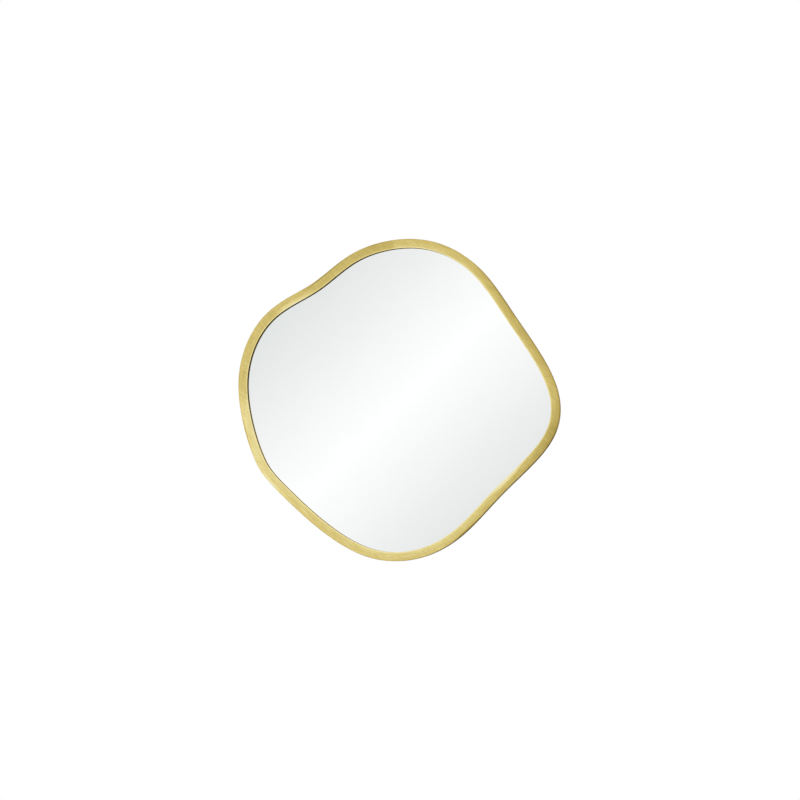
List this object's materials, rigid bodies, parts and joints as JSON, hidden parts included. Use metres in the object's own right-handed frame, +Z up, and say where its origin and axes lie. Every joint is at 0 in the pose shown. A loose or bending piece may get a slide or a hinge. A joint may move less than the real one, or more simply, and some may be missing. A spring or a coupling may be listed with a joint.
{
  "type": "irregular shaped wall mirror",
  "caption": "Wall mirror with a soft, irregular pebble outline in a deep, narrow brushed brass-toned metal channel frame, hung from D rings on its back board.",
  "frame": {"origin": "on the wall plane, behind the middle of the mirror's overall height and width", "axes": "+X to the right and +Z up as seen from the front, +Y into the wall; the mirror faces -Y"},
  "size_m": [0.9139, 0.033, 0.91],
  "materials": {
    "brass_toned_steel": "brushed, brass-toned coating on stainless steel",
    "mirror_glass": "clear silvered glass, polished",
    "fibreboard": "plain medium-density fibreboard",
    "backing_film": "dull grey safety film",
    "black_foam": "closed-cell foam tape",
    "white_foam": "double-sided foam tape",
    "screw_steel": "zinc-plated, dull",
    "zinc": "zinc-plated, bright",
    "rubber": "matte black"
  },
  "bodies": {
    "mirror": {"face_ring": "brass_toned_steel", "outer_band": "brass_toned_steel", "inner_band": "brass_toned_steel", "core_right": "fibreboard", "core_top": "fibreboard", "core_left": "fibreboard", "core_bottom": "fibreboard", "backing_board": "fibreboard", "mirror_glass": "mirror_glass", "backing_film": "backing_film", "glass_gasket": "black_foam", "foam_strip_1": "white_foam", "foam_strip_2": "white_foam", "foam_strip_3": "white_foam", "foam_strip_4": "white_foam", "board_screw_1": "screw_steel", "board_screw_2": "screw_steel", "board_screw_3": "screw_steel", "board_screw_4": "screw_steel", "board_screw_5": "screw_steel", "board_screw_6": "screw_steel", "board_screw_7": "screw_steel", "board_screw_8": "screw_steel", "board_screw_9": "screw_steel", "board_screw_10": "screw_steel", "board_screw_11": "screw_steel", "board_screw_12": "screw_steel", "hanger_strap_left": "zinc", "hanger_screw_left_1": "zinc", "hanger_screw_left_2": "zinc", "hanger_strap_right": "zinc", "hanger_screw_right_1": "zinc", "hanger_screw_right_2": "zinc", "wall_bumper_upper_right": "rubber", "wall_bumper_upper_left": "rubber", "wall_bumper_lower_left": "rubber", "wall_bumper_lower_right": "rubber"},
    "ring_left": {"d_ring_left": "zinc"},
    "ring_right": {"d_ring_right": "zinc"}
  },
  "joints": [
    {"name": "left_ring_swing", "type": "hinge", "parent": "mirror", "child": "ring_left", "pos_m": [-0.25, -0.0037, 0.22827], "axis": [-1, 0, 0], "range_deg": [0, 183]},
    {"name": "right_ring_swing", "type": "hinge", "parent": "mirror", "child": "ring_right", "pos_m": [0.25, -0.0037, 0.22827], "axis": [-1, 0, 0], "range_deg": [0, 183]}
  ]
}
